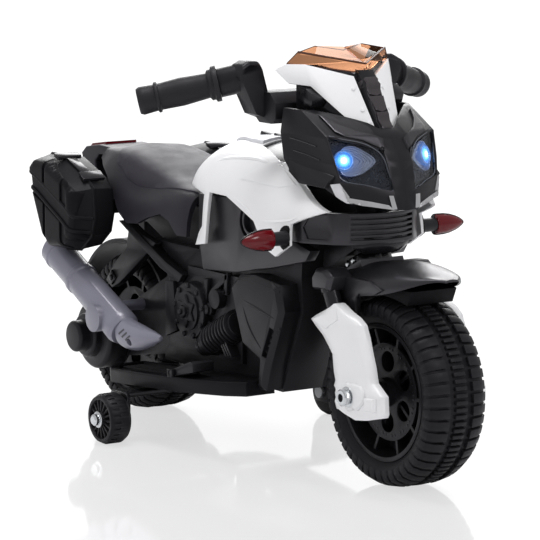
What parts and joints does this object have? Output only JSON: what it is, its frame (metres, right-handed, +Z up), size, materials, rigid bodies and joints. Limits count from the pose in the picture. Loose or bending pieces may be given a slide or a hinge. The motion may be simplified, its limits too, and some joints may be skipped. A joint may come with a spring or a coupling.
{
  "type": "kids electric motorbike",
  "caption": "Child's battery ride-on motorbike with steering fork and handlebar, geared rear wheel, stabiliser wheels, moulded seat, side cases, exhausts and footboards.",
  "frame": {"origin": "ground plane, under the middle of the bounding box", "axes": "+X forwards, +Y to the rider's left, +Z up"},
  "size_m": [0.79, 0.4182, 0.495],
  "materials": {
    "tyre_black": "matte blow-moulded",
    "black_plastic": "satin",
    "seat_black": "fine grain",
    "white_plastic": "satin gloss",
    "lid_grey": "satin",
    "silver_plastic": "metallic",
    "red_lens": "translucent",
    "amber_screen": "transparent",
    "lamp_lens": "clear tinted",
    "lamp_bowl": "metallised",
    "chrome_trim": "polished",
    "zinc_steel": "zinc plated",
    "black_steel": "powder coated",
    "nylon": "moulded",
    "battery_case": "moulded"
  },
  "bodies": {
    "chassis": {"body_shell_right": "black_plastic", "body_shell_left": "black_plastic", "dash_panel": "black_plastic", "rear_mudguard": "black_plastic", "chin_grille": "black_plastic", "indicator_stalks": "black_plastic", "side_panels": "black_plastic", "engine_panels": "black_plastic", "radiator_shrouds": "black_plastic", "footboard_left": "black_plastic", "footboard_right": "black_plastic", "pannier_right": "black_plastic", "pannier_left": "black_plastic", "subframes": "black_plastic", "gearbox_case": "black_plastic", "gearbox_cover": "black_plastic", "hub_cover_left": "black_plastic", "seat": "seat_black", "grab_rail": "seat_black", "tank_cover": "white_plastic", "tank_lid": "lid_grey", "exhaust_right": "silver_plastic", "exhaust_left": "silver_plastic", "indicator_lenses": "red_lens", "tail_light": "red_lens", "training_bolts": "zinc_steel", "rear_axle": "zinc_steel", "motor": "zinc_steel", "training_brackets": "black_steel", "steering_bushes": "nylon", "battery": "battery_case", "control_board": "battery_case"},
    "steering": {"steering_stem": "black_steel", "fork_legs": "black_steel", "fork_covers": "white_plastic", "front_axle": "zinc_steel", "front_fender": "black_plastic", "handlebar": "black_plastic", "grips": "black_plastic", "front_cowl": "black_plastic", "headlight_lenses": "lamp_lens", "headlight_bowls": "lamp_bowl", "screen_cheeks": "white_plastic", "screen_spine": "black_plastic", "windscreen": "amber_screen", "lamp_trims": "chrome_trim"},
    "front_wheel": {"front_tyre": "tyre_black", "front_rim": "black_plastic"},
    "rear_wheel": {"rear_tyre": "tyre_black", "rear_rim": "black_plastic"},
    "training_wheel_right": {"training_wheel_right": "black_plastic"},
    "training_wheel_left": {"training_wheel_left": "black_plastic"},
    "accelerator_pedal": {"accelerator_pedal": "black_plastic"},
    "power_switch": {"power_switch": "black_plastic"},
    "direction_switch": {"direction_switch": "black_plastic"},
    "idler_one": {"idler_one": "nylon"},
    "idler_two": {"idler_two": "nylon"},
    "idler_three": {"idler_three": "nylon"},
    "motor_pinion": {"motor_pinion": "nylon"}
  },
  "joints": [
    {"name": "steering", "type": "hinge", "parent": "chassis", "child": "steering", "pos_m": [0.21753, 0, 0.264], "axis": [-0.454, 0, 0.891], "range_deg": [-18, 18]},
    {"name": "front_wheel_spin", "type": "hinge", "parent": "steering", "child": "front_wheel", "pos_m": [0.285, 0, 0.11], "axis": [0, 1, 0], "continuous": true},
    {"name": "rear_wheel_spin", "type": "hinge", "parent": "chassis", "child": "rear_wheel", "pos_m": [-0.271, 0, 0.102], "axis": [0, 1, 0], "continuous": true},
    {"name": "training_wheel_right_spin", "type": "hinge", "parent": "chassis", "child": "training_wheel_right", "pos_m": [-0.097, -0.166, 0.031], "axis": [0, 1, 0], "continuous": true},
    {"name": "training_wheel_left_spin", "type": "hinge", "parent": "chassis", "child": "training_wheel_left", "pos_m": [-0.097, 0.166, 0.031], "axis": [0, 1, 0], "continuous": true},
    {"name": "pedal_hinge", "type": "hinge", "parent": "chassis", "child": "accelerator_pedal", "pos_m": [-0.02644, -0.104, 0.09408], "axis": [0, 1, 0], "range_deg": [0, 8], "stiffness_Nm_per_rad": 1.5, "springref_deg": -5.73},
    {"name": "power_rocker", "type": "hinge", "parent": "chassis", "child": "power_switch", "pos_m": [0.00553, 0, 0.375], "axis": [0, -1, 0], "range_deg": [0, 16]},
    {"name": "direction_rocker", "type": "hinge", "parent": "chassis", "child": "direction_switch", "pos_m": [0.03453, 0, 0.375], "axis": [0, -1, 0], "range_deg": [0, 16]},
    {"name": "idler_three_spin", "type": "hinge", "parent": "chassis", "child": "idler_three", "pos_m": [-0.2512, 0, 0.102], "axis": [0, 1, 0], "continuous": true},
    {"name": "idler_two_spin", "type": "hinge", "parent": "chassis", "child": "idler_two", "pos_m": [-0.271, 0, 0.102], "axis": [0, 1, 0], "continuous": true},
    {"name": "idler_one_spin", "type": "hinge", "parent": "chassis", "child": "idler_one", "pos_m": [-0.2512, 0, 0.102], "axis": [0, 1, 0], "continuous": true},
    {"name": "motor_pinion_spin", "type": "hinge", "parent": "chassis", "child": "motor_pinion", "pos_m": [-0.271, 0, 0.102], "axis": [0, 1, 0], "continuous": true}
  ],
  "couplings": [
    {"joint": "idler_three_spin", "follows": "rear_wheel_spin", "ratio": -3},
    {"joint": "idler_two_spin", "follows": "rear_wheel_spin", "ratio": 9},
    {"joint": "idler_one_spin", "follows": "rear_wheel_spin", "ratio": -27},
    {"joint": "motor_pinion_spin", "follows": "rear_wheel_spin", "ratio": 81}
  ]
}
